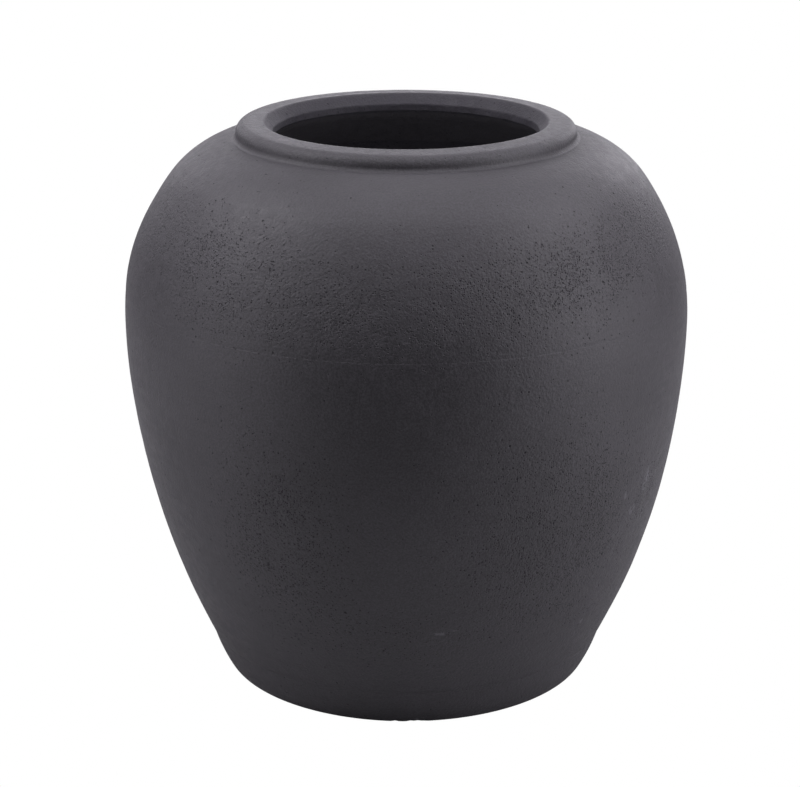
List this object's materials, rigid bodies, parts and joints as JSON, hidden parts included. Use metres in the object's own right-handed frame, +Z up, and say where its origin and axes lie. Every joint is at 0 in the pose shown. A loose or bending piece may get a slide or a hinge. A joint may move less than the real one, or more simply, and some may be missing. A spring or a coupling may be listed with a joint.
{
  "type": "clay pot",
  "caption": "Round-shouldered matte black clay pot with a wide open mouth, a rolled rim with a groove under it, and a narrower rounded foot.",
  "frame": {"origin": "centre of the flat base, on the surface that the pot stands on", "axes": "+Z up along the pot's axis; the body is round about it, so X and Y are free"},
  "size_m": [0.3, 0.2998, 0.301],
  "materials": {
    "clay_body": "matte black fired clay, rubbed smooth, finely pitted",
    "clay_rim": "matte black fired clay, wiped smooth",
    "clay_inside": "matte black fired clay, left rough",
    "clay_base": "matte black fired clay, dry and scuffed"
  },
  "bodies": {
    "root": {"floor_slab": "clay_base", "foot_band": "clay_body", "floor_coil": "clay_inside", "lower_wall": "clay_body", "waist_strip": "clay_body", "waist_coil": "clay_inside", "shoulder_wall": "clay_body", "rim_collar": "clay_rim", "neck_coil": "clay_inside"}
  },
  "joints": []
}
